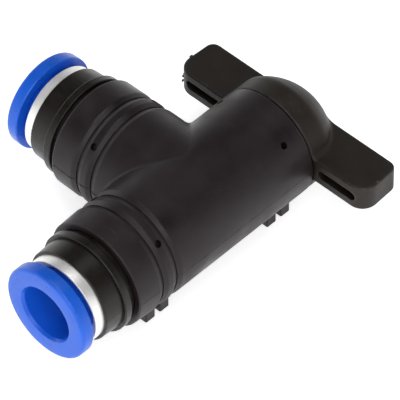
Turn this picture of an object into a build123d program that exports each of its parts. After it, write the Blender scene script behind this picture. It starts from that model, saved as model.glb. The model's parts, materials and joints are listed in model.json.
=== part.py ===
from build123d import *
from math import cos, radians, sin, sqrt
import os

# Elbow ball valve for 8 mm tube, with a push-in connection on each arm.
# The pieces are modelled about the point where the centre lines of the two arms cross: the front
# arm points along -Y, the side arm along -X, and the handle turns about Y at the +Y end. At the end
# they are moved along Y, so that the origin is the mouth of the front tube bore. Sizes are millimetres.

# Tube and flow way
tube_bore_r = 4.1
flow_r = 2.4

# Body: two equal arms and a handle end
arm_r = 8.15
side_arm_r = 8.05
collar_r = 8.0
arm_end = 18.05
handle_end = 14.75
groove_stations = (11.05, 13.6)
valley_half_width = 0.8
valley_depth = 0.3
valley_shoulder_r = 0.6
groove_half_width = 0.14
groove_depth = 0.45
crotch_fillet_r = 0.8
edge_r = 0.25
port_bore_r = 7.05
port_bore_start = 8.5
seat_pocket_r = 4.45
seat_pocket_start = 4.17
cavity_r = 6.1
gland_bore_r = 6.6
gland_bore_start = 5.9

# Windows in the body wall, where the barbs of the inner pieces snap in
window_r = 0.52
barb_r = 0.44
barb_reach = 0.55
port_window_station = 12.3
gland_window_station = 11.5
window_angles = (45, 135, 225, 315)

# Feet under both ends of the main arm
foot_outer_x = 5.0
foot_inner_x = 3.3
foot_bottom_z = -8.9
foot_top_z = -5.5
foot_spans = ((-14.0, -12.25), (-11.35, -9.65), (9.2, 10.95), (11.85, 13.55))
foot_rib_spans = ((-12.3, -11.3), (10.9, 11.9))
foot_rib_thickness = 0.5
foot_rib_bottom_z = -8.45
foot_edge_r = 0.2

# Ball and seats
ball_r = 5.8
seat_sphere_r = 5.84
seat_start = 4.47
seat_end = 6.4
seat_outer_r = 4.4
seat_inner_r = 2.6
rear_seat_lip = 3.9
rear_seat_lip_r = 4.35
rear_seat_start = 4.5
rear_seat_end = 6.2
rear_seat_inner_r = 3.5
rear_seat_outer_r = 6.05
ball_slot_width = 2.4
ball_slot_bottom = 4.0

# Spindle and gland
tang_width = 2.2
tang_length = 5.4
tang_start = 4.1
shoulder_start = 5.95
shoulder_end = 7.3
shoulder_r = 3.22
shaft_r = 2.6
shaft_end = 14.0
spindle_groove_r = 1.8
spindle_groove_width = 1.15
spindle_ring_stations = (9.2, 11.6)
drive_width = 3.6
drive_end = 19.4
drive_chamfer = 0.4
gland_start = 6.25
gland_end = 14.3
gland_outer_r = 6.55
gland_shaft_bore_r = 2.68
gland_counterbore_r = 3.3
gland_counterbore_end = 7.82
gland_pocket_inner_r = 4.0
gland_pocket_outer_r = 5.9
gland_pocket_bottom = 10.4
gland_groove_station = 8.6
gland_groove_width = 1.5
gland_groove_r = 5.35
washer_inner_r = 2.7
washer_outer_r = 3.22
washer_start = 7.34
washer_end = 7.79

# Quarter-turn stop: two lugs of the handle run between ribs in the gland's pocket
quarter_turn = 90.0
lug_angle = 26.0
lug_play_angle = 1.5
lug_inner_r = 4.4
lug_outer_r = 5.6
lug_end = 12.4

# Handle
hub_r = 8.1
hub_start = 14.87
dome_r = 8.97
dome_top = 23.02
dome_middle_angle = 45.0
dome_shoulder_r = 2.2
wing_half_height = 2.0
wing_front_x = 17.1
wing_back_x = 16.75
wing_back_y = 21.75
wing_front_corner_r = 2.3
wing_back_corner_r = 1.3
wing_edge_r = 0.3
wing_root_r = 0.8
slot_centre_x = 12.05
slot_length = 6.5
slot_width = 1.5
slot_depth = 4.6
hub_pocket_outer_r = 6.7
hub_pocket_inner_r = 3.7
hub_pocket_end = 17.6
drive_play = 0.05

# Push-in cartridge, in stations measured outwards from the centre of the valve
nose_start = 6.45
nose_r = 4.35
cartridge_start = 8.6
cartridge_r = 6.95
cartridge_groove = (9.3, 10.75)
cartridge_groove_r = 5.75
tube_stop = 11.4
socket_r = 4.12
seal_start = 13.4
seal_bore_r = 5.6
spacer_start = 15.8
spacer_bore_r = 5.9
claw_bore_start = 17.6
claw_bore_r = 6.15
mouth_start = 20.6
mouth_r = 6.42
flange_start = 18.95
flange_end = 20.15
flange_r = 7.5
lip_root_r = 7.0
lip_front_r = 6.85
cartridge_end = 23.1
cartridge_edge_r = 0.15
flange_front_edge_r = 0.2

# Metal collar ring, claw ring, spacer and seals
ring_r = 6.4
ring_bore_r = 5.22
ring_lip_r = 4.98
ring_lip_start = 23.3
ring_end = 24.2
ring_chamfer = 0.3
claw_ring_inner_r = 5.25
claw_ring_outer_r = 6.1
claw_thickness = 0.28
claw_ring_station = 20.3
claw_tip_r = 3.8
claw_tip_station = 18.75
claw_count = 8
claw_gap_angle = 14.0
spacer_end = 17.5
spacer_inner_r = 4.2
spacer_cone_depth = 0.9
seal_inner_r = 3.9
seal_end = 15.7
seal_lip_edge_r = 0.2
end_play = 0.05
side_play = 0.03
o_ring_flat = 0.02

# Release sleeve
sleeve_nose = 20.6
sleeve_nose_r = 4.4
sleeve_bead_r = 5.14
sleeve_bead = (22.4, 23.2)
sleeve_taper_length = 0.5
sleeve_shank_r = 4.9
head_start = 24.9
head_back_r = 6.72
head_rim_start = 25.8
head_r = 6.98
head_front = 27.5
head_round_r = 0.8
mouth_chamfer = 0.45
mouth_lip_r = 4.35


def turned(outline, rounds=()):
    """Body of revolution about Z from (radius, station) corners, some of them rounded."""
    section = make_face(Polyline(*outline, close=True))
    for corner, radius in rounds:
        point = Vector(*outline[corner])
        section = fillet(section.vertices().sort_by_distance(point)[0], radius)
    return revolve(Plane.XZ * section, Axis.Z)


def rod(radius, start, end):
    """Solid round bar about Z between two stations."""
    return Pos(0, 0, start) * Cylinder(radius, end - start, align=(Align.CENTER, Align.CENTER, Align.MIN))


def pegs(radius, inner_r, outer_r, station):
    """Round pegs that point outwards at the four window angles."""
    peg = Cylinder(radius, outer_r - inner_r, align=(Align.CENTER, Align.CENTER, Align.MIN))
    radial = Pos(0, 0, station) * Rot(0, 90, 0) * Pos(0, 0, inner_r) * peg
    return [Rot(0, 0, angle) * radial for angle in window_angles]


def o_ring(inner_r, outer_r, station):
    """Rubber ring of round section that fills the space between two radii."""
    section_r = (outer_r - inner_r) / 2
    return Pos(0, 0, station) * Torus(inner_r + section_r, section_r)


to_front = Rot(90, 0, 0)
to_side = Rot(0, -90, 0)
to_handle = Rot(-90, 0, 0)


def arm(radius):
    """One arm of the body about Z: plain neck, a band between two soft valleys, and the collar."""
    outline = [(0, 0), (radius, 0)]
    shoulders = []
    for station in groove_stations:
        shoulders.append(len(outline))
        outline.append((radius, station - valley_half_width))
        outline.append((radius - valley_depth, station - groove_half_width))
        outline.append((radius - groove_depth, station - groove_half_width))
        outline.append((radius - groove_depth, station + groove_half_width))
        outline.append((radius - valley_depth, station + groove_half_width))
        shoulders.append(len(outline))
        outline.append((radius, station + valley_half_width))
    outline += [(collar_r, arm_end), (0, arm_end)]
    rounds = [(corner, valley_shoulder_r) for corner in shoulders]
    return turned(outline, rounds + [(len(outline) - 2, edge_r)])


def foot(span, inner_x, outer_x, bottom_z):
    """Rectangular foot under the body, from the body's underside down to its own flat face."""
    block = Box(outer_x - inner_x, span[1] - span[0], foot_top_z - bottom_z)
    return Pos((inner_x + outer_x) / 2, (span[0] + span[1]) / 2, (foot_top_z + bottom_z) / 2) * block


def make_feet():
    """Two pairs of feet under each end, joined by thin ribs."""
    feet = []
    for span in foot_spans:
        block = foot(span, foot_inner_x, foot_outer_x, foot_bottom_z)
        block = fillet(block.edges().filter_by(Axis.Z), foot_edge_r)
        feet += [block, mirror(block, Plane.YZ)]
    middle_x = (foot_inner_x + foot_outer_x) / 2
    for span in foot_rib_spans:
        half_rib = foot_rib_thickness / 2
        rib = foot(span, middle_x - half_rib, middle_x + half_rib, foot_rib_bottom_z)
        feet += [rib, mirror(rib, Plane.YZ)]
    return feet


def make_body():
    """Moulded elbow body: arms, handle end and feet, bored out for the ball and the cartridges."""
    main = to_handle * rod(arm_r, 0, handle_end)
    main = fillet(main.edges().sort_by(Axis.Y)[-1], edge_r)
    main += to_front * arm(arm_r)
    shell = main + to_side * arm(side_arm_r)
    seams = shell.edges().filter_by(lambda edge: edge.geom_type not in (GeomType.CIRCLE, GeomType.LINE))
    shell = fillet(seams, crotch_fillet_r)
    for piece in make_feet():
        shell += piece
    port = rod(port_bore_r, port_bore_start, arm_end) + rod(seat_pocket_r, seat_pocket_start, arm_end)
    shell -= to_front * port
    shell -= to_side * port
    shell -= Sphere(cavity_r)
    shell -= to_handle * rod(cavity_r, 0, handle_end)
    shell -= to_handle * rod(gland_bore_r, gland_bore_start, handle_end)
    for window in pegs(window_r, seat_pocket_r, arm_r + edge_r, port_window_station):
        shell -= to_front * window
        shell -= to_side * window
    for window in pegs(window_r, seat_pocket_r, arm_r + edge_r, gland_window_station):
        shell -= to_handle * window
    return shell


def make_cartridge():
    """Moulded cartridge: nose against the seat, tube stop, seal and claw housing, flange and mouth."""
    outline = [
        (flow_r, nose_start), (nose_r, nose_start), (nose_r, cartridge_start),
        (cartridge_r, cartridge_start), (cartridge_r, cartridge_groove[0]),
        (cartridge_groove_r, cartridge_groove[0]), (cartridge_groove_r, cartridge_groove[1]),
        (cartridge_r, cartridge_groove[1]),
        (cartridge_r, flange_start), (flange_r, flange_start), (flange_r, flange_end),
        (lip_root_r, flange_end), (lip_front_r, cartridge_end), (mouth_r, cartridge_end),
        (mouth_r, mouth_start), (claw_bore_r, mouth_start), (claw_bore_r, claw_bore_start),
        (spacer_bore_r, claw_bore_start), (spacer_bore_r, spacer_start), (seal_bore_r, spacer_start),
        (seal_bore_r, seal_start), (socket_r, seal_start), (socket_r, tube_stop), (flow_r, tube_stop),
    ]
    flange_front = outline.index((flange_r, flange_end))
    lip_front = outline.index((lip_front_r, cartridge_end))
    rounds = [
        (lip_front, cartridge_edge_r), (flange_front, flange_front_edge_r),
        (flange_front - 1, cartridge_edge_r),
    ]
    cartridge = turned(outline, rounds)
    for peg in pegs(barb_r, cartridge_r - barb_reach, cartridge_r + barb_reach, port_window_station):
        cartridge += peg
    return cartridge


def make_collar_ring():
    """Turned metal ring that clamps the claw ring and guides the release sleeve."""
    outline = [
        (ring_bore_r, mouth_start), (ring_r, mouth_start), (ring_r, ring_end - ring_chamfer),
        (ring_r - ring_chamfer, ring_end), (ring_lip_r, ring_end), (ring_lip_r, ring_lip_start),
        (ring_bore_r, ring_lip_start),
    ]
    return turned(outline)


def make_claw_ring():
    """Stamped stainless ring whose bent fingers lean inwards and grip the tube."""
    top = claw_ring_station + claw_thickness
    slope_drop = claw_ring_station - claw_tip_station
    slope_run = claw_ring_inner_r - claw_tip_r
    slope_length = sqrt(slope_drop**2 + slope_run**2)
    normal_r = claw_thickness * slope_drop / slope_length
    normal_s = claw_thickness * slope_run / slope_length
    outline = [
        (claw_tip_r, claw_tip_station), (claw_ring_inner_r, claw_ring_station),
        (claw_ring_outer_r, claw_ring_station), (claw_ring_outer_r, top),
        (claw_ring_inner_r - normal_r, top), (claw_tip_r - normal_r, claw_tip_station + normal_s),
    ]
    ring = turned(outline)
    gap_reach = claw_ring_inner_r + normal_r
    half_gap = radians(claw_gap_angle / 2)
    wedge = make_face(Polyline(
        (0, 0), (gap_reach * cos(half_gap), -gap_reach * sin(half_gap)),
        (gap_reach * cos(half_gap), gap_reach * sin(half_gap)), close=True))
    gap = Pos(0, 0, claw_tip_station - claw_thickness) * extrude(wedge, claw_thickness * 2 + slope_drop * 2)
    for index in range(claw_count):
        ring -= Rot(0, 0, index * 360 / claw_count) * gap
    return ring


def make_seal_spacer():
    """Moulded ring that keeps the claws off the seal, hollowed as a cone towards the claws."""
    outer_r = spacer_bore_r - side_play
    start = spacer_start + end_play
    outline = [
        (spacer_inner_r, start), (outer_r, start), (outer_r, spacer_end),
        (spacer_inner_r + spacer_cone_depth, spacer_end), (spacer_inner_r, spacer_end - spacer_cone_depth),
    ]
    return turned(outline)


def make_tube_seal():
    """Rubber seal with two rounded lips on the tube side."""
    outer_r = seal_bore_r - side_play
    start = seal_start + end_play
    middle = (seal_start + seal_end) / 2
    lip = (seal_end - seal_start) / 4
    outer_tip = (seal_inner_r, seal_end - lip)
    inner_tip = (seal_inner_r, seal_start + lip)
    outline = [
        (seal_inner_r + lip, start), (outer_r, start), (outer_r, seal_end), (seal_inner_r + lip, seal_end),
        outer_tip, (seal_inner_r + lip, middle), inner_tip,
    ]
    return turned(outline, [(outline.index(tip), seal_lip_edge_r) for tip in (outer_tip, inner_tip)])


def make_release_sleeve():
    """Moulded sleeve: rounded head, shank, retaining bead and a nose that spreads the claws."""
    outline = [
        (tube_bore_r, sleeve_nose), (sleeve_nose_r, sleeve_nose),
        (sleeve_shank_r, sleeve_bead[0] - sleeve_taper_length),
        (sleeve_bead_r, sleeve_bead[0]), (sleeve_bead_r, sleeve_bead[1]), (sleeve_shank_r, sleeve_bead[1]),
        (sleeve_shank_r, head_start), (head_back_r, head_start), (head_r, head_rim_start),
        (head_r, head_front), (mouth_lip_r, head_front), (tube_bore_r, head_front - mouth_chamfer),
    ]
    rim = outline.index((head_r, head_front))
    return turned(outline, [(rim, head_round_r)])


def make_port_seat():
    """Sealing ring between a cartridge's nose and the ball."""
    outline = [
        (seat_inner_r, seat_start), (seat_outer_r, seat_start),
        (seat_outer_r, seat_end), (seat_inner_r, seat_end),
    ]
    return turned(outline) - Sphere(seat_sphere_r)


def make_rear_seat():
    """Sealing ring between the gland bush and the ball, round the spindle."""
    outline = [
        (rear_seat_inner_r, rear_seat_lip), (rear_seat_lip_r, rear_seat_lip),
        (rear_seat_lip_r, rear_seat_start), (rear_seat_outer_r, rear_seat_start),
        (rear_seat_outer_r, rear_seat_end), (rear_seat_inner_r, rear_seat_end),
    ]
    return to_handle * (turned(outline) - Sphere(seat_sphere_r))


def make_ball():
    """Ball with an L-shaped way from the front arm to the side arm, and a slot for the spindle."""
    ball = Sphere(ball_r)
    ball -= to_front * rod(flow_r, 0, ball_r)
    ball -= to_side * rod(flow_r, 0, ball_r)
    ball -= Sphere(flow_r)
    slot_depth_y = ball_r - ball_slot_bottom
    slot = Box(ball_slot_width, slot_depth_y, 2 * ball_r)
    return ball - Pos(0, ball_slot_bottom + slot_depth_y / 2, 0) * slot


def make_spindle():
    """Turned spindle: tang in the ball, shoulder, shaft with two grooves, and a square drive end."""
    outline = [(0, shoulder_start), (shoulder_r, shoulder_start), (shoulder_r, shoulder_end)]
    outline.append((shaft_r, shoulder_end))
    half_groove = spindle_groove_width / 2
    for station in spindle_ring_stations:
        outline.append((shaft_r, station - half_groove))
        outline.append((spindle_groove_r, station - half_groove))
        outline.append((spindle_groove_r, station + half_groove))
        outline.append((shaft_r, station + half_groove))
    outline += [(shaft_r, shaft_end), (0, shaft_end)]
    spindle = to_handle * turned(outline)
    tang_height = shoulder_start - tang_start
    tang = Box(tang_width, tang_height, tang_length)
    spindle += Pos(0, tang_start + tang_height / 2, 0) * tang
    drive_height = drive_end - shaft_end
    drive = Box(drive_width, drive_height, drive_width)
    drive = chamfer(drive.faces().sort_by(Axis.Y)[-1].edges(), drive_chamfer)
    return spindle + Pos(0, shaft_end + drive_height / 2, 0) * drive


def sector(inner_r, outer_r, start_angle, end_angle, start, end):
    """Part of a ring about Z between two angles, counted from X."""
    reach = outer_r * 2
    corners = [(0, 0)]
    middle_angle = (start_angle + end_angle) / 2
    for angle in (start_angle, middle_angle, end_angle):
        corners.append((reach * cos(radians(angle)), reach * sin(radians(angle))))
    blank = Pos(0, 0, start) * extrude(make_face(Polyline(*corners, close=True)), end - start)
    return blank & (rod(outer_r, start, end) - rod(inner_r, start, end))


# Angles about Z of the handle's own frame, where a quarter turn about +Y counts upwards
lug_start_angles = (-90.0 - lug_angle / 2, 90.0 - lug_angle / 2)


def make_gland_bush():
    """Moulded bush that holds the spindle in: ring groove, barbs and a pocket with stop ribs."""
    groove_start = gland_groove_station - gland_groove_width / 2
    groove_end = gland_groove_station + gland_groove_width / 2
    outline = [
        (gland_counterbore_r, gland_start), (gland_outer_r, gland_start), (gland_outer_r, groove_start),
        (gland_groove_r, groove_start), (gland_groove_r, groove_end), (gland_outer_r, groove_end),
        (gland_outer_r, gland_end), (gland_shaft_bore_r, gland_end),
        (gland_shaft_bore_r, gland_counterbore_end), (gland_counterbore_r, gland_counterbore_end),
    ]
    bush = turned(outline)
    for start_angle in lug_start_angles:
        bush -= sector(
            gland_pocket_inner_r, gland_pocket_outer_r, start_angle - lug_play_angle,
            start_angle + lug_angle + quarter_turn + lug_play_angle, gland_pocket_bottom, gland_end)
    for peg in pegs(barb_r, gland_outer_r - barb_reach, gland_outer_r + barb_reach, gland_window_station):
        bush += peg
    return to_handle * bush


def make_thrust_washer():
    """Slip ring between the spindle's shoulder and the gland bush."""
    blank = rod(washer_outer_r, washer_start, washer_end)
    return to_handle * (blank - rod(washer_inner_r, washer_start, washer_end))


def is_root(point):
    """Whether an edge with this middle is where a wing leaves the hub."""
    beside_hub = hub_r - dome_shoulder_r < abs(point.X) < hub_r
    return beside_hub and abs(point.Z) < wing_half_height + wing_edge_r and point.Y > hub_start + wing_edge_r


def is_rim(point):
    """Whether an edge with this middle runs round the upper or lower face of a wing."""
    return abs(point.X) > hub_r + wing_root_r and abs(point.Z) > wing_half_height - wing_edge_r


def make_handle():
    """Moulded T-handle: domed hub, two slotted wings, pocket with drive socket and stop lugs."""
    dome_centre = dome_top - dome_r
    dome_edge = dome_centre + sqrt(dome_r**2 - hub_r**2)
    edge_line = Polyline((0, dome_top), (0, hub_start), (hub_r, hub_start), (hub_r, dome_edge))
    middle_x = dome_r * cos(radians(dome_middle_angle))
    middle_y = dome_centre + dome_r * sin(radians(dome_middle_angle))
    dome_line = ThreePointArc((hub_r, dome_edge), (middle_x, middle_y), (0, dome_top))
    section = make_face([edge_line, dome_line])
    crease = section.vertices().sort_by_distance(Vector(hub_r, dome_edge))[0]
    section = fillet(crease, dome_shoulder_r)
    hub = to_handle * revolve(Plane.XZ * section, Axis.Z)
    plan = make_face(Polyline(
        (-wing_front_x, hub_start), (wing_front_x, hub_start), (wing_back_x, wing_back_y),
        (-wing_back_x, wing_back_y), close=True))
    plan = fillet(plan.vertices().group_by(Axis.Y)[0], wing_front_corner_r)
    plan = fillet(plan.vertices().group_by(Axis.Y)[-1], wing_back_corner_r)
    handle = hub + extrude(plan, wing_half_height, both=True)
    roots = handle.edges().filter_by(lambda edge: is_root(edge.position_at(0.5)))
    handle = fillet(roots, wing_root_r)
    rims = handle.edges().filter_by(lambda edge: is_rim(edge.position_at(0.5)))
    handle = fillet(rims, wing_edge_r)
    slot = extrude(SlotOverall(slot_length, slot_width), slot_depth)
    for side in (-1, 1):
        handle -= Pos(side * slot_centre_x, hub_start, 0) * to_handle * slot
    pocket = rod(hub_pocket_outer_r, hub_start, hub_pocket_end)
    pocket -= rod(hub_pocket_inner_r, hub_start, hub_pocket_end)
    handle -= to_handle * pocket
    socket_height = drive_end + drive_play - hub_start
    socket = Box(drive_width + 2 * drive_play, socket_height, drive_width + 2 * drive_play)
    handle -= Pos(0, hub_start + socket_height / 2, 0) * socket
    lug_root = hub_pocket_end + edge_r
    for start_angle in lug_start_angles:
        lug = sector(lug_inner_r, lug_outer_r, start_angle, start_angle + lug_angle, lug_end, lug_root)
        handle += to_handle * lug
    return handle


port_makers = {
    "cartridge": make_cartridge,
    "collar_ring": make_collar_ring,
    "claw_ring": make_claw_ring,
    "seal_spacer": make_seal_spacer,
    "tube_seal": make_tube_seal,
    "release_sleeve": make_release_sleeve,
    "ball_seat": make_port_seat,
}

nodes = {"body": make_body()}
groove_middle = sum(cartridge_groove) / 2
for port_name, placing in (("front", to_front), ("side", to_side)):
    for piece_name, maker in port_makers.items():
        nodes[f"{port_name}_{piece_name}"] = placing * maker()
    port_ring = o_ring(cartridge_groove_r, port_bore_r - o_ring_flat, groove_middle)
    nodes[f"{port_name}_cartridge_o_ring"] = placing * port_ring

nodes["valve_ball"] = make_ball()
nodes["rear_ball_seat"] = make_rear_seat()
nodes["spindle"] = make_spindle()
ring_outer_r = gland_shaft_bore_r - o_ring_flat
for ring_name, station in zip(("inner", "outer"), spindle_ring_stations):
    spindle_ring = o_ring(spindle_groove_r, ring_outer_r, station)
    nodes[f"{ring_name}_spindle_o_ring"] = to_handle * spindle_ring
nodes["thrust_washer"] = make_thrust_washer()
nodes["gland_bush"] = make_gland_bush()
nodes["gland_o_ring"] = to_handle * o_ring(gland_groove_r, gland_bore_r - o_ring_flat, gland_groove_station)
nodes["handle"] = make_handle()

to_origin = Pos(0, head_front - mouth_chamfer, 0)
os.makedirs("parts", exist_ok=True)
for node_name, shape in nodes.items():
    export_step(to_origin * shape, f"parts/{node_name}.step")
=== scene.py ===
import json
from math import atan2, cos, pi, radians, remainder, sin, tan

import bmesh
import bpy
from mathutils import Matrix, Vector


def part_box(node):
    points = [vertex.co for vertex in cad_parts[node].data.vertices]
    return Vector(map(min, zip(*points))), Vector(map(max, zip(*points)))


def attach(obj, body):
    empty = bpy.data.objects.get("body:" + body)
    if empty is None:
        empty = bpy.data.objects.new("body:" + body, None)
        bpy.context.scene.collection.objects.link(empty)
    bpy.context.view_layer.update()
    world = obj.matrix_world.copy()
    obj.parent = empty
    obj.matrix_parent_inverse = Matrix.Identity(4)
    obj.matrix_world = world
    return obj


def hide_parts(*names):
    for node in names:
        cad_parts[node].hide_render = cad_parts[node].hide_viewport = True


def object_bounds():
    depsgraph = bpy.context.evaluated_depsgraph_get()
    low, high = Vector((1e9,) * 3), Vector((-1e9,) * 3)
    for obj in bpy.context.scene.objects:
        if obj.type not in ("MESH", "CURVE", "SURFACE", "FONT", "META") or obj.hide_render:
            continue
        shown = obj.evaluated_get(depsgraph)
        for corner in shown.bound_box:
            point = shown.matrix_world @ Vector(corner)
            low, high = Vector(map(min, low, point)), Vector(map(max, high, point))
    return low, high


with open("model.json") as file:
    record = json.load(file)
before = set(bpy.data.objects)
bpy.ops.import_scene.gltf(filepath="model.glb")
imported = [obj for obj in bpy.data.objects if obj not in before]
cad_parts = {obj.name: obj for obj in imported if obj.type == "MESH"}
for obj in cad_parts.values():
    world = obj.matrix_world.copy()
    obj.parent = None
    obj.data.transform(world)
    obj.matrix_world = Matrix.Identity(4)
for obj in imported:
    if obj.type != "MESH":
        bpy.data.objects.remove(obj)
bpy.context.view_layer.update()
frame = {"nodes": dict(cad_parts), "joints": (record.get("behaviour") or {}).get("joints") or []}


# Camera
# The valve stands on its feet and is seen through a long lens, from above the open end of the front
# arm and the near wing of the handle. The lens aims just beyond the point where the arms cross.
mm = 0.001
joints = {joint["name"]: joint for joint in frame["joints"]}
crossing = Vector(joints["handle_turn"]["pos_m"])
aim = crossing + Vector((0.731, 0.783, 0)) * mm
view_distance = 0.76195
view_azimuth = radians(-46.0887)
view_elevation = radians(47.4554)
view_roll = radians(-0.4689)
lens_mm = 522.07
sensor_mm = 36
near_clip = 0.05
far_clip = 10

camera_data = bpy.data.cameras.new("studio_camera")
camera_data.sensor_fit = "HORIZONTAL"
camera_data.sensor_width = sensor_mm
camera_data.lens = lens_mm
camera_data.clip_start = near_clip
camera_data.clip_end = far_clip
camera = bpy.data.objects.new("studio_camera", camera_data)
bpy.context.scene.collection.objects.link(camera)
over_floor = cos(view_elevation)
backwards = Vector((over_floor * cos(view_azimuth), over_floor * sin(view_azimuth), sin(view_elevation)))
camera_turn = backwards.to_track_quat("Z", "Y").to_matrix() @ Matrix.Rotation(view_roll, 3, "Z")
camera.matrix_world = Matrix.Translation(aim + backwards * view_distance) @ camera_turn.to_4x4()
bpy.context.scene.camera = camera


# Floor and light
# A pale table lit so brightly that it reads as white and lightens the undersides, a room that is
# bright at the horizon and dim overhead, and large soft panels for the broad gleams on the black.
floor_half_width = 6.0
floor_squares = 8
floor_tone = (0.9, 0.9, 0.9, 1)
floor_warm_tone = (0.9, 0.9, 0.89, 1)
floor_tone_scale = 3.0
floor_glow = 0.66
white = (1, 1, 1, 1)
sky_horizon = 0.92
sky_overhead = 0.14
sky_horizon_height = 0.02
sky_overhead_height = 0.75
panel_distance = 0.95
panel_width = 0.7
# Each panel: the direction towards it, and its watts
panels = {
    "front_panel": ((0.54, -0.54, 0.64), 3.4),
    "overhead_panel": ((0.03, 0.0, 1.0), 2.5),
    "left_panel": ((-1.0, 0.0, 0.21), 1.0),
    "low_panel": ((0.0, -1.0, 0.21), 1.0),
}


def add(tree, kind, settings=None, **inputs):
    """A node in a tree. An input is named with _ for a space, or numbered as in_2; sockets are linked."""
    node = tree.nodes.new(kind)
    for name, value in (settings or {}).items():
        setattr(node, name, value)
    for name, value in inputs.items():
        key = int(name[3:]) if name.startswith("in_") else name.replace("_", " ")
        if isinstance(value, bpy.types.NodeSocket):
            tree.links.new(value, node.inputs[key])
        else:
            node.inputs[key].default_value = value
    return node


def mixed(tree, share, first, second):
    return add(tree, "ShaderNodeMix", {"data_type": "RGBA"}, in_0=share, in_6=first, in_7=second).outputs[2]


def new_material(name):
    material = bpy.data.materials.new(name)
    material.use_nodes = True
    material.node_tree.nodes.clear()
    return material, material.node_tree


def surface(tree, **inputs):
    """A material's own shader, wired to its output."""
    shader = add(tree, "ShaderNodeBsdfPrincipled", **inputs)
    add(tree, "ShaderNodeOutputMaterial", Surface=shader.outputs[0])


bpy.ops.mesh.primitive_grid_add(
    x_subdivisions=floor_squares, y_subdivisions=floor_squares, size=2 * floor_half_width)
floor = bpy.context.object
floor.name = "floor"
floor.data.transform(Matrix.Translation((0, 0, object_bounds()[0].z)))
floor_finish, tree = new_material("pale_table")
place = add(tree, "ShaderNodeTexCoord").outputs["Object"]
tone = add(tree, "ShaderNodeTexNoise", Vector=place, Scale=floor_tone_scale).outputs["Fac"]
surface(tree, Base_Color=mixed(tree, tone, floor_tone, floor_warm_tone), Roughness=0.9,
        Specular_IOR_Level=0.1, Emission_Color=white, Emission_Strength=floor_glow)
floor.data.materials.append(floor_finish)

world = bpy.data.worlds.new("studio")
bpy.context.scene.world = world
world.use_nodes = True
tree = world.node_tree
tree.nodes.clear()
direction = add(tree, "ShaderNodeTexCoord").outputs["Generated"]
height = add(tree, "ShaderNodeSeparateXYZ", Vector=direction).outputs["Z"]
brightness = add(tree, "ShaderNodeMapRange", {"interpolation_type": "SMOOTHSTEP"}, Value=height,
                 in_1=sky_horizon_height, in_2=sky_overhead_height, in_3=sky_horizon, in_4=sky_overhead)
sky = add(tree, "ShaderNodeBackground", Color=white, Strength=brightness.outputs[0])
add(tree, "ShaderNodeOutputWorld", Surface=sky.outputs[0])

for name, (direction, watts) in panels.items():
    panel_data = bpy.data.lights.new(name, "AREA")
    panel_data.shape = "DISK"
    panel_data.size = panel_width
    panel_data.energy = watts
    panel = bpy.data.objects.new(name, panel_data)
    bpy.context.scene.collection.objects.link(panel)
    towards = Vector(direction).normalized()
    stand = Matrix.Translation(crossing + towards * panel_distance)
    panel.matrix_world = stand @ towards.to_track_quat("Z", "Y").to_matrix().to_4x4()
bpy.context.scene.view_settings.view_transform = "Standard"


# Body
# One black moulding in filled nylon: two arms with a band and a collar each, the handle end and the
# feet. The mould's fine spark grain is on every face; paler corners are partly wear, partly painted
# highlight.
nodes = frame["nodes"]
body_black = (0.0098, 0.0048, 0.0062, 1)
body_wear_and_highlight = (0.040, 0.034, 0.035, 1)
body_roughness = (0.36, 0.56)
dust_grey = (0.16, 0.15, 0.14, 1)
moulding_ior = 1.40
wear_and_highlight_radius = 0.16 * mm
# Spans that hold most of a noise
narrow_noise = (0.35, 0.65)
wide_noise = (0.3, 0.7)


def tree_input(tree, name, kind, value=None):
    socket = tree.interface.new_socket(name=name, in_out="INPUT", socket_type="NodeSocket" + kind)
    if value is not None:
        socket.default_value = value


def make_effect(name, takes, gives):
    """A shader group: its tree, what it takes and what it gives."""
    tree = bpy.data.node_groups.new(name, "ShaderNodeTree")
    for socket_name, (kind, value) in takes.items():
        tree_input(tree, socket_name, kind, value)
    for socket_name, kind in gives.items():
        tree.interface.new_socket(name=socket_name, in_out="OUTPUT", socket_type="NodeSocket" + kind)
    return tree, tree.nodes.new("NodeGroupInput").outputs, tree.nodes.new("NodeGroupOutput").inputs


def effect(tree, group, **inputs):
    """Places a shader group in a tree and gives its outputs."""
    return add(tree, "ShaderNodeGroup", {"node_tree": group}, **inputs).outputs


def product(tree, first, second):
    return add(tree, "ShaderNodeMath", {"operation": "MULTIPLY"}, in_0=first, in_1=second).outputs[0]


def about_zero(tree, noise):
    """A noise that runs from 0 to 1, moved to run from -0.5 to 0.5."""
    return add(tree, "ShaderNodeMath", {"operation": "SUBTRACT"}, in_0=noise, in_1=0.5).outputs[0]


def ranged(tree, value, start, end, low=0.0, high=1.0):
    return add(tree, "ShaderNodeMapRange", Value=value, in_1=start, in_2=end, in_3=low, in_4=high).outputs[0]


def bumped(tree, height, strength, depth, **over):
    """The normal of a surface with this relief, over another normal if one is given."""
    return add(tree, "ShaderNodeBump", Height=height, Strength=strength, Distance=depth, **over).outputs[0]


# Grain of a moulded face: fine pits, and slow clouds that shift the colour where the melt cooled.
moulded_grain, takes, gives = make_effect(
    "moulded_grain",
    {"Vector": ("Vector", None), "Colour": ("Color", (0.5, 0.5, 0.5, 1)), "Grain": ("Float", 5000.0),
     "Clouds": ("Float", 180.0), "Cloud Depth": ("Float", 0.15)},
    {"Colour": "Color", "Clouds": "Float", "Height": "Float"})
fine = add(moulded_grain, "ShaderNodeTexNoise", Vector=takes["Vector"], Scale=takes["Grain"], Detail=3.0,
           Roughness=0.6)
slow = add(moulded_grain, "ShaderNodeTexNoise", Vector=takes["Vector"], Scale=takes["Clouds"], Detail=5.0,
           Roughness=0.55)
cloud_gain = 4.0
swing = product(moulded_grain, about_zero(moulded_grain, slow.outputs["Fac"]), takes["Cloud Depth"])
level = add(moulded_grain, "ShaderNodeMath", {"operation": "MULTIPLY_ADD"}, in_0=swing, in_1=cloud_gain,
            in_2=1.0)
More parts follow.
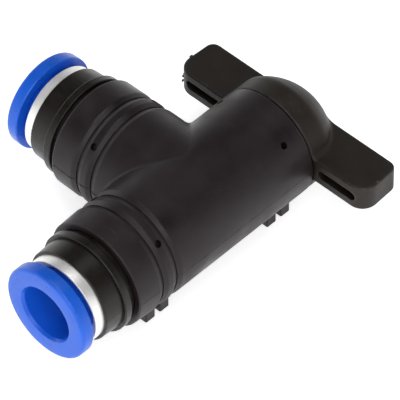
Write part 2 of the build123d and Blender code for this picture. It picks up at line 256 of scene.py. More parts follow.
toned = add(moulded_grain, "ShaderNodeVectorMath", {"operation": "SCALE"}, in_0=takes["Colour"],
            Scale=level.outputs[0])
moulded_grain.links.new(toned.outputs[0], gives["Colour"])
moulded_grain.links.new(slow.outputs["Fac"], gives["Clouds"])
moulded_grain.links.new(fine.outputs["Fac"], gives["Height"])

# Worn and highlit corners: paler where the rounded normal leaves the true one, broken up by a slow noise.
# This is partly rubbed wear and partly painted highlight along the edges.
worn_and_highlit_corners, takes, gives = make_effect(
    "worn_and_highlit_corners",
    {"Vector": ("Vector", None), "Radius": ("Float", wear_and_highlight_radius), "Amount": ("Float", 0.5)},
    {"Mask": "Float"})
bevelled = add(worn_and_highlit_corners, "ShaderNodeBevel", {"samples": 4}, Radius=takes["Radius"]).outputs[0]
true_normal = add(worn_and_highlit_corners, "ShaderNodeNewGeometry").outputs["Normal"]
along = add(worn_and_highlit_corners, "ShaderNodeVectorMath", {"operation": "DOT_PRODUCT"}, in_0=bevelled,
            in_1=true_normal)
flat_cosine = 0.995
corner_cosine = 0.90
corner = ranged(worn_and_highlit_corners, along.outputs["Value"], flat_cosine, corner_cosine)
wear_and_highlight_break = (0.38, 0.62)
patches = add(worn_and_highlit_corners, "ShaderNodeTexNoise", Vector=takes["Vector"], Scale=900.0, Detail=3.0)
broken = ranged(worn_and_highlit_corners, patches.outputs["Fac"], *wear_and_highlight_break)
mask = product(worn_and_highlit_corners, product(worn_and_highlit_corners, corner, broken), takes["Amount"])
worn_and_highlit_corners.links.new(mask, gives["Mask"])

# Handling marks: short pale hairlines in two directions, only in patches.
handling_marks, takes, gives = make_effect(
    "handling_marks",
    {"Vector": ("Vector", None), "Amount": ("Float", 0.5)},
    {"Mask": "Float"})
handled_patch = (0.54, 0.68)
hairline_turns = ((0.3, 0.5, 0.7), (1.1, -0.4, 2.1))
hairline_stretch = (60, 2600, 2600)
hairline_edge = (0.70, 0.74)
patches = add(handling_marks, "ShaderNodeTexNoise", Vector=takes["Vector"], Scale=210.0, Detail=2.0)
patch = ranged(handling_marks, patches.outputs["Fac"], *handled_patch)
hairlines = []
for turn in hairline_turns:
    turned = add(handling_marks, "ShaderNodeMapping", Vector=takes["Vector"], Rotation=turn,
                 Scale=hairline_stretch)
    streaks = add(handling_marks, "ShaderNodeTexNoise", Vector=turned.outputs[0], Scale=1.0, Detail=1.0)
    hairlines.append(ranged(handling_marks, streaks.outputs["Fac"], *hairline_edge))
both = add(handling_marks, "ShaderNodeMath", {"operation": "MAXIMUM"}, in_0=hairlines[0], in_1=hairlines[1])
mask = product(handling_marks, product(handling_marks, both.outputs[0], patch), takes["Amount"])
handling_marks.links.new(mask, gives["Mask"])

# Settled dust: scattered specks and a faint film on what faces upwards.
settled_dust, takes, gives = make_effect(
    "settled_dust",
    {"Vector": ("Vector", None), "Amount": ("Float", 0.5)},
    {"Mask": "Float"})
speck_edge = (0.11, 0.05)
speck_chance = (0.93, 0.95)
dust_slope = (0.1, 0.9)
film_patch = (0.5, 0.8)
film_strength = 0.12
cells = add(settled_dust, "ShaderNodeTexVoronoi", Vector=takes["Vector"], Scale=1500.0)
speck = ranged(settled_dust, cells.outputs["Distance"], *speck_edge)
chance = add(settled_dust, "ShaderNodeSeparateColor", Color=cells.outputs["Color"]).outputs["Red"]
chosen = ranged(settled_dust, chance, *speck_chance)
facing = add(settled_dust, "ShaderNodeNewGeometry").outputs["Normal"]
steepness = add(settled_dust, "ShaderNodeSeparateXYZ", Vector=facing).outputs["Z"]
upward = ranged(settled_dust, steepness, *dust_slope)
film = add(settled_dust, "ShaderNodeTexNoise", Vector=takes["Vector"], Scale=320.0, Detail=4.0)
haze = ranged(settled_dust, film.outputs["Fac"], *film_patch, 0.0, film_strength)
either = add(settled_dust, "ShaderNodeMath", {"operation": "MAXIMUM"},
             in_0=product(settled_dust, speck, chosen), in_1=haze)
mask = product(settled_dust, product(settled_dust, either.outputs[0], upward), takes["Amount"])
settled_dust.links.new(mask, gives["Mask"])


def dress(material, *names):
    """Puts a finish on CAD nodes."""
    for name in names:
        nodes[name].material_slots[0].material = material


body_finish, tree = new_material("grained_black_nylon")
place = add(tree, "ShaderNodeTexCoord").outputs["Object"]
grain = effect(tree, moulded_grain, Vector=place, Colour=body_black, Grain=5200.0, Clouds=170.0,
               Cloud_Depth=0.30)
wear_and_highlight = effect(tree, worn_and_highlit_corners, Vector=place, Radius=wear_and_highlight_radius, Amount=0.8)
marks = effect(tree, handling_marks, Vector=place, Amount=0.35)
dust = effect(tree, settled_dust, Vector=place, Amount=0.35)
# Paler corners: partly rubbed wear, partly painted highlight along the edges.
colour = mixed(tree, wear_and_highlight["Mask"], grain["Colour"], body_wear_and_highlight)
colour = mixed(tree, marks["Mask"], colour, body_wear_and_highlight)
colour = mixed(tree, dust["Mask"], colour, dust_grey)
roughness = ranged(tree, grain["Clouds"], *narrow_noise, *body_roughness)
relief = bumped(tree, grain["Height"], 0.30, 0.02 * mm)
surface(tree, Base_Color=colour, Roughness=roughness, IOR=moulding_ior, Normal=relief)
dress(body_finish, "body")


# Mould seams on the body
# The body's mould parts at the middle height. The parting line is a hair of flash that wanders a
# little, follows bands and collar, and is trimmed off where the two arms meet.
seam_width = 0.11 * mm
seam_wander = 0.30 * mm
seam_step = 0.12 * mm
seam_swell = (0.35, 1.25)
seam_waves = ((260.0, 1.0), (2600.0, 0.22))
seam_sides = 6
arm_gap = 8.6 * mm
collar_stop = 17.6 * mm
handle_stop = 14.3 * mm
reach_out = 12.0 * mm
# Each run: start and end from the crossing, the direction towards the wall, width share and seed
seam_runs = (
    ((-arm_gap, 0), (-collar_stop, 0), (0, 1), 1.5, 3),
    ((-arm_gap, 0), (-collar_stop, 0), (0, -1), 0.8, 11),
    ((0, -collar_stop), (0, handle_stop), (-1, 0), 0.45, 5),
    ((0, arm_gap), (0, handle_stop), (1, 0), 0.7, 21),
)


def make_seam_tree():
    """A wandering line between two points, dropped on to a moulding's wall and given a round section."""
    tree = bpy.data.node_groups.new("mould_seam", "GeometryNodeTree")
    tree_input(tree, "Geometry", "Geometry")
    for name, kind in (("Moulding", "Object"), ("Start", "Vector"), ("End", "Vector"), ("Inward", "Vector"),
                       ("Width", "Float"), ("Wander", "Float"), ("Step", "Float"), ("Seed", "Float"),
                       ("Finish", "Material")):
        tree_input(tree, name, kind)
    tree.interface.new_socket(name="Geometry", in_out="OUTPUT", socket_type="NodeSocketGeometry")
    takes = add(tree, "NodeGroupInput").outputs
    line = add(tree, "GeometryNodeCurvePrimitiveLine", Start=takes["Start"], End=takes["End"])
    run = add(tree, "GeometryNodeResampleCurve", {"mode": "LENGTH"}, Curve=line.outputs[0],
              Length=takes["Step"])
    position = add(tree, "GeometryNodeInputPosition").outputs[0]
    direction = add(tree, "ShaderNodeVectorMath", {"operation": "SUBTRACT"}, in_0=takes["End"],
                    in_1=takes["Start"])
    across = add(tree, "ShaderNodeVectorMath", {"operation": "CROSS_PRODUCT"}, in_0=takes["Inward"],
                 in_1=direction.outputs[0])
    across = add(tree, "ShaderNodeVectorMath", {"operation": "NORMALIZE"}, in_0=across.outputs[0])
    slow_and_fine = []
    for scale, share in seam_waves:
        noise = add(tree, "ShaderNodeTexNoise", {"noise_dimensions": "4D"}, Vector=position, W=takes["Seed"],
                    Scale=scale, Detail=1.0)
        swing = product(tree, about_zero(tree, noise.outputs[0]), takes["Wander"])
        slow_and_fine.append(product(tree, swing, share))
    shift = add(tree, "ShaderNodeMath", {"operation": "ADD"}, in_0=slow_and_fine[0],
                in_1=slow_and_fine[1]).outputs[0]
    offset = add(tree, "ShaderNodeVectorMath", {"operation": "SCALE"}, in_0=across.outputs[0], Scale=shift)
    wandering = add(tree, "GeometryNodeSetPosition", Geometry=run.outputs[0], Offset=offset.outputs[0])
    wall = add(tree, "GeometryNodeObjectInfo", {"transform_space": "RELATIVE"}, Object=takes["Moulding"])
    hit = add(tree, "GeometryNodeRaycast", Target_Geometry=wall.outputs["Geometry"],
              Source_Position=position, Ray_Direction=takes["Inward"], Ray_Length=1.0)
    dropped = add(tree, "GeometryNodeSetPosition", Geometry=wandering.outputs[0],
                  Selection=hit.outputs["Is Hit"], Position=hit.outputs["Hit Position"])
    thickness = add(tree, "ShaderNodeTexNoise", {"noise_dimensions": "4D"}, Vector=position, W=takes["Seed"],
                    Scale=1300.0, Detail=2.0)
    swell = ranged(tree, thickness.outputs[0], *narrow_noise, *seam_swell)
    profile = add(tree, "GeometryNodeCurvePrimitiveCircle", Resolution=seam_sides,
                  Radius=product(tree, takes["Width"], 0.5))
    ridge = add(tree, "GeometryNodeCurveToMesh", Curve=dropped.outputs[0], Profile_Curve=profile.outputs[0],
                Scale=swell, Fill_Caps=True)
    smooth = add(tree, "GeometryNodeSetShadeSmooth", Geometry=ridge.outputs[0])
    real = add(tree, "GeometryNodeRealizeInstances", Geometry=smooth.outputs[0])
    finished = add(tree, "GeometryNodeSetMaterial", Geometry=real.outputs[0], Material=takes["Finish"])
    add(tree, "NodeGroupOutput", Geometry=finished.outputs[0])
    return tree


def grow(name, tree, vertices=(), **inputs):
    """Runs a Geometry Nodes tree on a new object and gives the mesh that it grows."""
    blank = bpy.data.meshes.new(name)
    blank.from_pydata([tuple(vertex) for vertex in vertices], [], [])
    seedling = bpy.data.objects.new(name, blank)
    bpy.context.scene.collection.objects.link(seedling)
    modifier = seedling.modifiers.new("grow", "NODES")
    modifier.node_group = tree
    sockets = [item for item in tree.interface.items_tree if item.in_out == "INPUT"]
    identifiers = {socket.name: socket.identifier for socket in sockets}
    for input_name, value in inputs.items():
        modifier[identifiers[input_name.replace("_", " ")]] = value
    evaluated = seedling.evaluated_get(bpy.context.evaluated_depsgraph_get())
    mesh = bpy.data.meshes.new_from_object(evaluated)
    seedling.modifiers.remove(modifier)
    bpy.data.objects.remove(seedling)
    return mesh


def joined(name, meshes):
    """One piece from several meshes."""
    parts = []
    for mesh in meshes:
        part = bpy.data.objects.new(name, mesh)
        bpy.context.scene.collection.objects.link(part)
        parts.append(part)
    with bpy.context.temp_override(active_object=parts[0], selected_editable_objects=parts):
        bpy.ops.object.join()
    parts[0].name = name
    return parts[0]


seam_tree = make_seam_tree()
seam_meshes = []
for start, end, inward, share, seed in seam_runs:
    towards_wall = Vector((*inward, 0))
    outside = crossing - towards_wall * reach_out
    seam_meshes.append(grow(
        "seam_run", seam_tree, Moulding=nodes["body"], Start=outside + Vector((*start, 0)),
        End=outside + Vector((*end, 0)), Inward=towards_wall, Width=seam_width * share,
        Wander=seam_wander, Step=seam_step, Seed=float(seed), Finish=body_finish))
body_seams = joined("body_mould_seams", seam_meshes)
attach(body_seams, "housing")


# Cartridges and gland bush
# Glass-free nylon from polished moulds, so they shine more than the body. Each was drawn off its
# core along its own axis, which leaves fine streaks that way. Barbs hold them in the body.
cartridge_black = (0.0058, 0.0034, 0.0020, 1)
cartridge_wear_and_highlight = (0.034, 0.030, 0.026, 1)
cartridge_roughness = (0.26, 0.40)
# Turns that lay each axis of the valve along Z, with its centre line through the origin
axis_turns = {
    "front": ((-pi / 2, 0, 0), (0, 0, 0)),
    "side": ((0, pi / 2, 0), (0, -crossing.y, 0)),
    "handle": ((pi / 2, 0, 0), (0, 0, 0)),
}

# Drawn streaks: light and dark lines along the axis of a turned or drawn piece.
drawn_streaks, takes, gives = make_effect(
    "drawn_streaks",
    {"Vector": ("Vector", None), "Streaks": ("Float", 9.0)},
    {"Mask": "Float"})
streak_turnover = 60.0
apart = add(drawn_streaks, "ShaderNodeSeparateXYZ", Vector=takes["Vector"])
outward = add(drawn_streaks, "ShaderNodeCombineXYZ", X=apart.outputs["X"], Y=apart.outputs["Y"])
around = add(drawn_streaks, "ShaderNodeVectorMath", {"operation": "NORMALIZE"}, in_0=outward.outputs[0])
lengthwise = product(drawn_streaks, apart.outputs["Z"], streak_turnover)
split = add(drawn_streaks, "ShaderNodeSeparateXYZ", Vector=around.outputs[0])
sheet = add(drawn_streaks, "ShaderNodeCombineXYZ", X=split.outputs["X"], Y=split.outputs["Y"], Z=lengthwise)
streaks = add(drawn_streaks, "ShaderNodeTexNoise", Vector=sheet.outputs[0], Scale=takes["Streaks"],
              Detail=4.0, Roughness=0.6)
drawn_streaks.links.new(streaks.outputs["Fac"], gives["Mask"])


def laid_on_axis(tree, axis):
    """Object coordinates, plain and turned so that the named centre line lies along Z."""
    turn, shift = axis_turns[axis]
    place = add(tree, "ShaderNodeTexCoord").outputs["Object"]
    return place, add(tree, "ShaderNodeMapping", Vector=place, Rotation=turn, Location=shift).outputs[0]


for axis, name in (("front", "front_cartridge"), ("side", "side_cartridge"), ("handle", "gland_bush")):
    finish, tree = new_material("drawn_black_nylon_" + axis)
    place, axial = laid_on_axis(tree, axis)
    grain = effect(tree, moulded_grain, Vector=place, Colour=cartridge_black, Grain=7500.0, Clouds=260.0,
                   Cloud_Depth=0.14)
    streak = effect(tree, drawn_streaks, Vector=axial, Streaks=7.0)
    wear_and_highlight = effect(tree, worn_and_highlit_corners, Vector=place, Radius=wear_and_highlight_radius, Amount=0.6)
    marks = effect(tree, handling_marks, Vector=place, Amount=0.4)
    # Paler corners: partly rubbed wear, partly painted highlight along the edges.
    colour = mixed(tree, wear_and_highlight["Mask"], grain["Colour"], cartridge_wear_and_highlight)
    colour = mixed(tree, marks["Mask"], colour, cartridge_wear_and_highlight)
    roughness = ranged(tree, streak["Mask"], *narrow_noise, *cartridge_roughness)
    fine_relief = bumped(tree, grain["Height"], 0.18, 0.015 * mm)
    relief = bumped(tree, streak["Mask"], 0.35, 0.03 * mm, Normal=fine_relief)
    surface(tree, Base_Color=colour, Roughness=roughness, IOR=moulding_ior, Normal=relief)
    dress(finish, name)


# Collar rings
# Brass rings turned on a lathe and bright plated, pressed into the mouths of the cartridges. Their
# edges are broken, the front is hollowed, and fine tool lines run round them under the plating.
ring_bright = (0.97, 0.96, 0.94, 1)
ring_shaded = (0.80, 0.79, 0.77, 1)
ring_roughness = (0.26, 0.40)
ring_shading = (0.42, 0.66)
ring_shading_share = 0.7
# Outline in mm from the back to the front: radius, station along the arm, rounding
ring_outline = (
    (5.22, 20.6, 0.0), (6.4, 20.6, 0.1), (6.4, 24.6, 0.14), (6.08, 24.6, 0.1), (6.0, 23.8, 0.2),
    (4.98, 23.8, 0.08), (4.98, 23.3, 0.0), (5.22, 23.3, 0.0),
)
lathe_steps = 144
corner_steps = 6
sharp_angle = radians(35)
# Each arm: where its centre line points, and a direction across it
arms = {"front": (Vector((0, -1, 0)), Vector((1, 0, 0))), "side": (Vector((-1, 0, 0)), Vector((0, 1, 0)))}


def rounded(outline):
    """The corners of an outline, with an arc in place of each that has a rounding."""
    points = []
    corners = [Vector(corner[:2]) for corner in outline]
    for index, corner in enumerate(corners):
        radius = outline[index][2]
        if not radius:
            points.append(corner)
            continue
        back = (corners[index - 1] - corner).normalized()
        onward = (corners[(index + 1) % len(corners)] - corner).normalized()
        half = back.angle(onward) / 2
        centre = corner + (back + onward).normalized() * radius / sin(half)
        first = corner + back * radius / tan(half) - centre
        last = corner + onward * radius / tan(half) - centre
        start = atan2(first.y, first.x)
        sweep = remainder(atan2(last.y, last.x) - start, 2 * pi)
        for step in range(corner_steps + 1):
            angle = start + sweep * step / corner_steps
            points.append(centre + radius * Vector((cos(angle), sin(angle))))
    return points


def lathe(name, arm, outline, material):
    """A turned piece round the centre line of an arm, with this outline."""
    along, across = arms[arm]
    section = rounded(outline)
    form = bmesh.new()
    rings = []
    for step in range(lathe_steps):
        angle = 2 * pi * step / lathe_steps
        outward = across * cos(angle) + Vector((0, 0, sin(angle)))
        rings.append([form.verts.new(crossing + (outward * r + along * s) * mm) for r, s in section])
    for step, ring in enumerate(rings):
        onward = rings[(step + 1) % lathe_steps]
        for point in range(len(section)):
            following = (point + 1) % len(section)
            form.faces.new((ring[point], onward[point], onward[following], ring[following]))
    bmesh.ops.recalc_face_normals(form, faces=form.faces)
    mesh = bpy.data.meshes.new(name)
    form.to_mesh(mesh)
    form.free()
    mesh.shade_smooth()
    mesh.set_sharp_from_angle(angle=sharp_angle)
    mesh.materials.append(material)
    piece = bpy.data.objects.new(name, mesh)
    bpy.context.scene.collection.objects.link(piece)
    return piece


# Lathe lines: rings round the axis on a wall, and circles on an end face.
lathe_lines, takes, gives = make_effect(
    "lathe_lines",
    {"Vector": ("Vector", None), "Lines": ("Float", 14000.0)},
    {"Lines": "Float", "Chatter": "Float"})
apart = add(lathe_lines, "ShaderNodeSeparateXYZ", Vector=takes["Vector"])
outward = add(lathe_lines, "ShaderNodeCombineXYZ", X=apart.outputs["X"], Y=apart.outputs["Y"])
radius = add(lathe_lines, "ShaderNodeVectorMath", {"operation": "LENGTH"}, in_0=outward.outputs[0])
travel = add(lathe_lines, "ShaderNodeMath", {"operation": "ADD"}, in_0=radius.outputs["Value"],
             in_1=apart.outputs["Z"])
turns = add(lathe_lines, "ShaderNodeTexNoise", {"noise_dimensions": "1D"}, W=travel.outputs[0],
            Scale=takes["Lines"], Detail=3.0, Roughness=0.7)
chatter = add(lathe_lines, "ShaderNodeTexNoise", Vector=takes["Vector"], Scale=420.0, Detail=3.0)
lathe_lines.links.new(turns.outputs["Fac"], gives["Lines"])
lathe_lines.links.new(chatter.outputs["Fac"], gives["Chatter"])

for axis in ("front", "side"):
    finish, tree = new_material("bright_plated_ring_" + axis)
    place, axial = laid_on_axis(tree, axis)
    lines = effect(tree, lathe_lines, Vector=axial, Lines=9000.0)
    marks = effect(tree, handling_marks, Vector=place, Amount=0.5)
    shade = ranged(tree, lines["Chatter"], *ring_shading, 0.0, ring_shading_share)
    colour = mixed(tree, shade, ring_bright, ring_shaded)
    colour = mixed(tree, marks["Mask"], colour, ring_shaded)
    roughness = ranged(tree, lines["Lines"], *wide_noise, *ring_roughness)
    fine_relief = bumped(tree, lines["Lines"], 0.45, 0.01 * mm)
    relief = bumped(tree, lines["Chatter"], 0.5, 0.05 * mm, Normal=fine_relief)
    surface(tree, Base_Color=colour, Roughness=roughness, Metallic=0.6, Normal=relief)
    turned_ring = lathe(axis + "_plated_ring", axis, ring_outline, finish)
    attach(turned_ring, "housing")
    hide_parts(axis + "_collar_ring")


# Release sleeves
# Blue acetal, moulded in one shot and free to slide in the collar rings. Acetal is a little see-through
# at the surface, so the colour glows, and the polished mould leaves an even, soft shine.
sleeve_blue = (0.007, 0.108, 0.640, 1)
sleeve_wear_and_highlight = (0.020, 0.160, 0.760, 1)
sleeve_roughness = (0.24, 0.36)
sleeve_glow = 0.12
sleeve_glow_spread = (0.2, 0.4, 1.0)
sleeve_glow_depth = 0.35 * mm
# Outline in mm from the nose to the mouth: radius, station along the arm, rounding
sleeve_outline = (
    (4.1, 20.6, 0.0), (4.4, 20.6, 0.1), (4.9, 21.9, 0.0), (5.14, 22.4, 0.1), (5.14, 23.2, 0.1),
    (4.9, 23.2, 0.0), (4.9, 25.6, 0.0), (6.88, 25.6, 0.06), (6.98, 25.75, 0.06), (6.98, 27.5, 0.5),
    (4.35, 27.5, 0.08), (4.1, 27.05, 0.08),
)

finish, tree = new_material("blue_acetal")
place = add(tree, "ShaderNodeTexCoord").outputs["Object"]
grain = effect(tree, moulded_grain, Vector=place, Colour=sleeve_blue, Grain=4200.0, Clouds=230.0,
               Cloud_Depth=0.10)
wear_and_highlight = effect(tree, worn_and_highlit_corners, Vector=place, Radius=wear_and_highlight_radius, Amount=0.5)
marks = effect(tree, handling_marks, Vector=place, Amount=0.3)
# Paler corners: partly rubbed wear, partly painted highlight along the edges.
colour = mixed(tree, wear_and_highlight["Mask"], grain["Colour"], sleeve_wear_and_highlight)
colour = mixed(tree, marks["Mask"], colour, sleeve_wear_and_highlight)
roughness = ranged(tree, grain["Clouds"], *narrow_noise, *sleeve_roughness)
fine_relief = bumped(tree, grain["Height"], 0.12, 0.015 * mm)
relief = bumped(tree, grain["Clouds"], 0.25, 0.05 * mm, Normal=fine_relief)
surface(tree, Base_Color=colour, Roughness=roughness, IOR=moulding_ior, Subsurface_Weight=sleeve_glow,
        Subsurface_Radius=sleeve_glow_spread, Subsurface_Scale=sleeve_glow_depth, Normal=relief)

for axis in ("front", "side"):
    sleeve = lathe(axis + "_blue_sleeve", axis, sleeve_outline, finish)
    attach(sleeve, axis + "_sleeve")
    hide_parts(axis + "_release_sleeve")


# Claw rings
# Rings stamped from bright rolled stainless strip, with eight fingers bent in to bite on the tube.
# Rolling lines run one way through the strip, and the bends and edges are painted brighter: partly worked
# metal, partly painted highlight.
strip_steel = (0.60, 0.59, 0.57, 1)
strip_dull = (0.5, 0.5, 0.49, 1)
strip_worked_and_highlit = (0.80, 0.79, 0.77, 1)
strip_roughness = (0.18, 0.32)
rolling_turn = (0.2, 0.7, 0.4)
rolling_stretch = (300, 9000, 9000)
finish, tree = new_material("rolled_stainless_strip")
place = add(tree, "ShaderNodeTexCoord").outputs["Object"]
rolled = add(tree, "ShaderNodeMapping", Vector=place, Rotation=rolling_turn, Scale=rolling_stretch)
lines = add(tree, "ShaderNodeTexNoise", Vector=rolled.outputs[0], Scale=1.0, Detail=3.0).outputs["Fac"]
wear_and_highlight = effect(tree, worn_and_highlit_corners, Vector=place, Radius=0.05 * mm, Amount=0.9)
# Brighter edges: partly worked metal, partly painted highlight.
colour = mixed(tree, wear_and_highlight["Mask"], mixed(tree, lines, strip_steel, strip_dull), strip_worked_and_highlit)
surface(tree, Base_Color=colour, Metallic=1.0, Roughness=ranged(tree, lines, *wide_noise, *strip_roughness),
        Normal=bumped(tree, lines, 0.3, 0.005 * mm))
dress(finish, "front_claw_ring", "side_claw_ring")


# Seal spacers
# Plain grey mouldings between claws and seal, with a cone that leaves room for the finger tips.
# Each is dropped into its cartridge after the seal, and the claw ring keeps it there.
spacer_grey = (0.40, 0.40, 0.38, 1)
spacer_wear_and_highlight = (0.58, 0.58, 0.56, 1)
spacer_roughness = (0.42, 0.58)
finish, tree = new_material("plain_grey_moulding")
place = add(tree, "ShaderNodeTexCoord").outputs["Object"]
grain = effect(tree, moulded_grain, Vector=place, Colour=spacer_grey, Grain=5000.0, Clouds=300.0,
               Cloud_Depth=0.08)
wear_and_highlight = effect(tree, worn_and_highlit_corners, Vector=place, Radius=0.08 * mm, Amount=0.4)
# Paler corners: partly rubbed wear, partly painted highlight along the edges.
colour = mixed(tree, wear_and_highlight["Mask"], grain["Colour"], spacer_wear_and_highlight)
roughness = ranged(tree, grain["Clouds"], *wide_noise, *spacer_roughness)
surface(tree, Base_Color=colour, Roughness=roughness, Normal=bumped(tree, grain["Height"], 0.25, 0.02 * mm))
dress(finish, "front_seal_spacer", "side_seal_spacer")


# Seals and rubber rings
# Black nitrile, pressed in polished moulds and lightly greased: matt where it is dry, with a faint
# grey bloom, and glossier where the grease lies.
rubber_black = (0.014, 0.014, 0.015, 1)
rubber_bloom = (0.060, 0.060, 0.063, 1)
rubber_roughness = (0.28, 0.62)
bloom_span = (0.45, 0.7)
dry_span = (0.35, 0.6)
finish, tree = new_material("greased_nitrile")
place = add(tree, "ShaderNodeTexCoord").outputs["Object"]
grain = effect(tree, moulded_grain, Vector=place, Colour=rubber_black, Grain=6500.0, Clouds=420.0,
               Cloud_Depth=0.2)
grease = add(tree, "ShaderNodeTexNoise", Vector=place, Scale=650.0, Detail=2.0, Distortion=0.6)
dryness = grease.outputs["Fac"]
colour = mixed(tree, ranged(tree, dryness, *bloom_span), grain["Colour"], rubber_bloom)
roughness = ranged(tree, dryness, *dry_span, *rubber_roughness)
surface(tree, Base_Color=colour, Roughness=roughness, Normal=bumped(tree, grain["Height"], 0.2, 0.02 * mm))
dress(finish, "front_tube_seal", "side_tube_seal", "front_cartridge_o_ring", "side_cartridge_o_ring",
      "inner_spindle_o_ring", "outer_spindle_o_ring", "gland_o_ring")


# Ball and spindle
# Turned brass, polished and bright plated. The spindle's tang sits in the ball's slot, and both turn
# with the handle, so a few fine circles from polishing lie round the handle's axis.
plated_brass = (0.80, 0.78, 0.73, 1)
plated_shaded = (0.62, 0.60, 0.55, 1)
plated_wear_and_highlight = (0.90, 0.88, 0.82, 1)
plated_roughness = (0.12, 0.26)
plated_shading = (0.4, 0.7)
finish, tree = new_material("polished_plated_brass")
place, axial = laid_on_axis(tree, "handle")
lines = effect(tree, lathe_lines, Vector=axial, Lines=16000.0)
wear_and_highlight = effect(tree, worn_and_highlit_corners, Vector=place, Radius=0.06 * mm, Amount=0.6)
colour = mixed(tree, ranged(tree, lines["Chatter"], *plated_shading), plated_brass, plated_shaded)
# Paler edges: partly rubbed wear, partly painted highlight on the plating.
colour = mixed(tree, wear_and_highlight["Mask"], colour, plated_wear_and_highlight)
roughness = ranged(tree, lines["Lines"], *wide_noise, *plated_roughness)
surface(tree, Base_Color=colour, Metallic=1.0, Roughness=roughness,
        Normal=bumped(tree, lines["Lines"], 0.2, 0.006 * mm))
dress(finish, "valve_ball", "spindle")


# Seats and thrust washer
# White fluoropolymer, machined and pressed against the ball. It is waxy and slightly see-through, with
# fine tool circles and grey wear where metal slides on it.
seat_white = (0.80, 0.80, 0.76, 1)
seat_worn = (0.55, 0.55, 0.53, 1)
seat_roughness = (0.34, 0.5)
seat_wear = (0.5, 0.75)
seat_glow = 0.25
seat_glow_depth = 0.4 * mm
finish, tree = new_material("waxy_white_seat")
place, axial = laid_on_axis(tree, "handle")
lines = effect(tree, lathe_lines, Vector=axial, Lines=12000.0)
colour = mixed(tree, ranged(tree, lines["Chatter"], *seat_wear), seat_white, seat_worn)
roughness = ranged(tree, lines["Lines"], *wide_noise, *seat_roughness)
surface(tree, Base_Color=colour, Roughness=roughness, Subsurface_Weight=seat_glow,
        Subsurface_Scale=seat_glow_depth, Normal=bumped(tree, lines["Lines"], 0.2, 0.01 * mm))
dress(finish, "front_ball_seat", "side_ball_seat", "rear_ball_seat", "thrust_washer")


# Handle
# One black moulding with a domed hub and two slotted wings, in a softer nylon than the body. Its
# mould is coarser, so the handle is duller, and it is a little brown beside the body.
handle_black = (0.0108, 0.0066, 0.0040, 1)
handle_wear_and_highlight = (0.050, 0.045, 0.038, 1)
handle_roughness = (0.44, 0.58)
handle_wear_and_highlight_radius = 0.5 * mm
handle_finish, tree = new_material("coarse_black_nylon")
place = add(tree, "ShaderNodeTexCoord").outputs["Object"]
grain = effect(tree, moulded_grain, Vector=place, Colour=handle_black, Grain=3600.0, Clouds=190.0,
               Cloud_Depth=0.28)
wear_and_highlight = effect(tree, worn_and_highlit_corners, Vector=place, Radius=handle_wear_and_highlight_radius, Amount=0.9)
marks = effect(tree, handling_marks, Vector=place, Amount=0.5)
dust = effect(tree, settled_dust, Vector=place, Amount=0.4)
# Paler corners and slot rims: partly rubbed wear, partly painted highlight along the edges.
colour = mixed(tree, wear_and_highlight["Mask"], grain["Colour"], handle_wear_and_highlight)
colour = mixed(tree, marks["Mask"], colour, handle_wear_and_highlight)
colour = mixed(tree, dust["Mask"], colour, dust_grey)
roughness = ranged(tree, grain["Clouds"], *narrow_noise, *handle_roughness)
relief = bumped(tree, grain["Height"], 0.35, 0.03 * mm)
surface(tree, Base_Color=colour, Roughness=roughness, IOR=moulding_ior, Normal=relief)
dress(handle_finish, "handle")


# Parting lines and flash on the handle
# The handle's mould parts across the ends of the wings and leaves a thin upright line of flash there.
# Torn nibs stay at the upper end of each line, and down the front corner of the far wing.
handle_low, handle_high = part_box("handle")
wing_height = 2.0 * mm
parting_y = crossing.y + 17.75 * mm
wing_line_width = 0.13 * mm
wing_line_sunk = 0.05 * mm
nib_radius = 0.24 * mm
nib_least = (0.5, 0.6, 0.45)
nib_most = (0.9, 1.3, 0.8)
nib_places = (
    Vector((handle_low.x + 0.05 * mm, parting_y - 0.10 * mm, wing_height - 0.10 * mm)),
    Vector((handle_high.x - 0.28 * mm, parting_y + 0.02 * mm, wing_height - 0.04 * mm)),
    Vector((handle_low.x - 0.22 * mm, parting_y - 1.10 * mm, -0.90 * mm)),
    Vector((handle_low.x - 0.34 * mm, parting_y - 1.20 * mm, -1.35 * mm)),
    Vector((handle_low.x - 0.20 * mm, parting_y - 1.45 * mm, -1.90 * mm)),
)


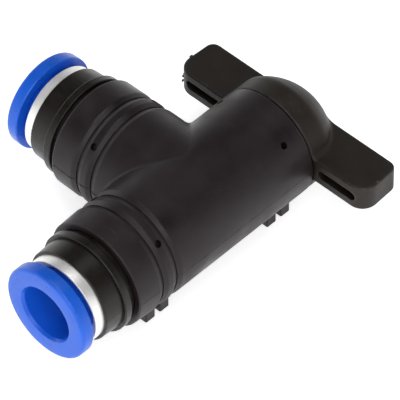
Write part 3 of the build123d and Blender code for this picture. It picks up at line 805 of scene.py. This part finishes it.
def make_nib_tree():
    """A torn scrap of flash at each point: a small ball, stretched and roughened."""
    tree = bpy.data.node_groups.new("flash_nibs", "GeometryNodeTree")
    tree_input(tree, "Geometry", "Geometry")
    tree_input(tree, "Radius", "Float")
    tree_input(tree, "Seed", "Int", 4)
    tree_input(tree, "Finish", "Material")
    tree.interface.new_socket(name="Geometry", in_out="OUTPUT", socket_type="NodeSocketGeometry")
    takes = add(tree, "NodeGroupInput").outputs
    ball = add(tree, "GeometryNodeMeshIcoSphere", Radius=takes["Radius"], Subdivisions=3)
    stretch = add(tree, "FunctionNodeRandomValue", {"data_type": "FLOAT_VECTOR"}, in_0=nib_least,
                  in_1=nib_most, Seed=takes["Seed"])
    scraps = add(tree, "GeometryNodeInstanceOnPoints", Points=takes["Geometry"], Instance=ball.outputs[0],
                 Scale=stretch.outputs[0])
    real = add(tree, "GeometryNodeRealizeInstances", Geometry=scraps.outputs[0])
    position = add(tree, "GeometryNodeInputPosition").outputs[0]
    ragged = add(tree, "ShaderNodeTexNoise", Vector=position, Scale=4200.0, Detail=2.0)
    depth = product(tree, about_zero(tree, ragged.outputs[0]), takes["Radius"])
    normal = add(tree, "GeometryNodeInputNormal").outputs[0]
    push = add(tree, "ShaderNodeVectorMath", {"operation": "SCALE"}, in_0=normal, Scale=depth)
    torn = add(tree, "GeometryNodeSetPosition", Geometry=real.outputs[0], Offset=push.outputs[0])
    smooth = add(tree, "GeometryNodeSetShadeSmooth", Geometry=torn.outputs[0])
    whole = add(tree, "GeometryNodeRealizeInstances", Geometry=smooth.outputs[0])
    finished = add(tree, "GeometryNodeSetMaterial", Geometry=whole.outputs[0], Material=takes["Finish"])
    add(tree, "NodeGroupOutput", Geometry=finished.outputs[0])
    return tree


line_meshes = [grow("nibs", make_nib_tree(), nib_places, Radius=nib_radius, Finish=handle_finish)]
line_seeds = {-1: 14, 1: 17}
for side, seed in line_seeds.items():
    line_x = side * (handle_high.x + reach_out)
    line = grow(
        "parting_line", seam_tree, Moulding=nodes["handle"], Start=Vector((line_x, parting_y, -wing_height)),
        End=Vector((line_x, parting_y, wing_height)), Inward=Vector((-side, 0, 0)), Width=wing_line_width,
        Wander=seam_wander, Step=seam_step, Seed=float(seed), Finish=handle_finish)
    line.transform(Matrix.Translation((-side * wing_line_sunk, 0, 0)))
    line_meshes.append(line)
handle_flash = joined("handle_flash", line_meshes)
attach(handle_flash, "handle")
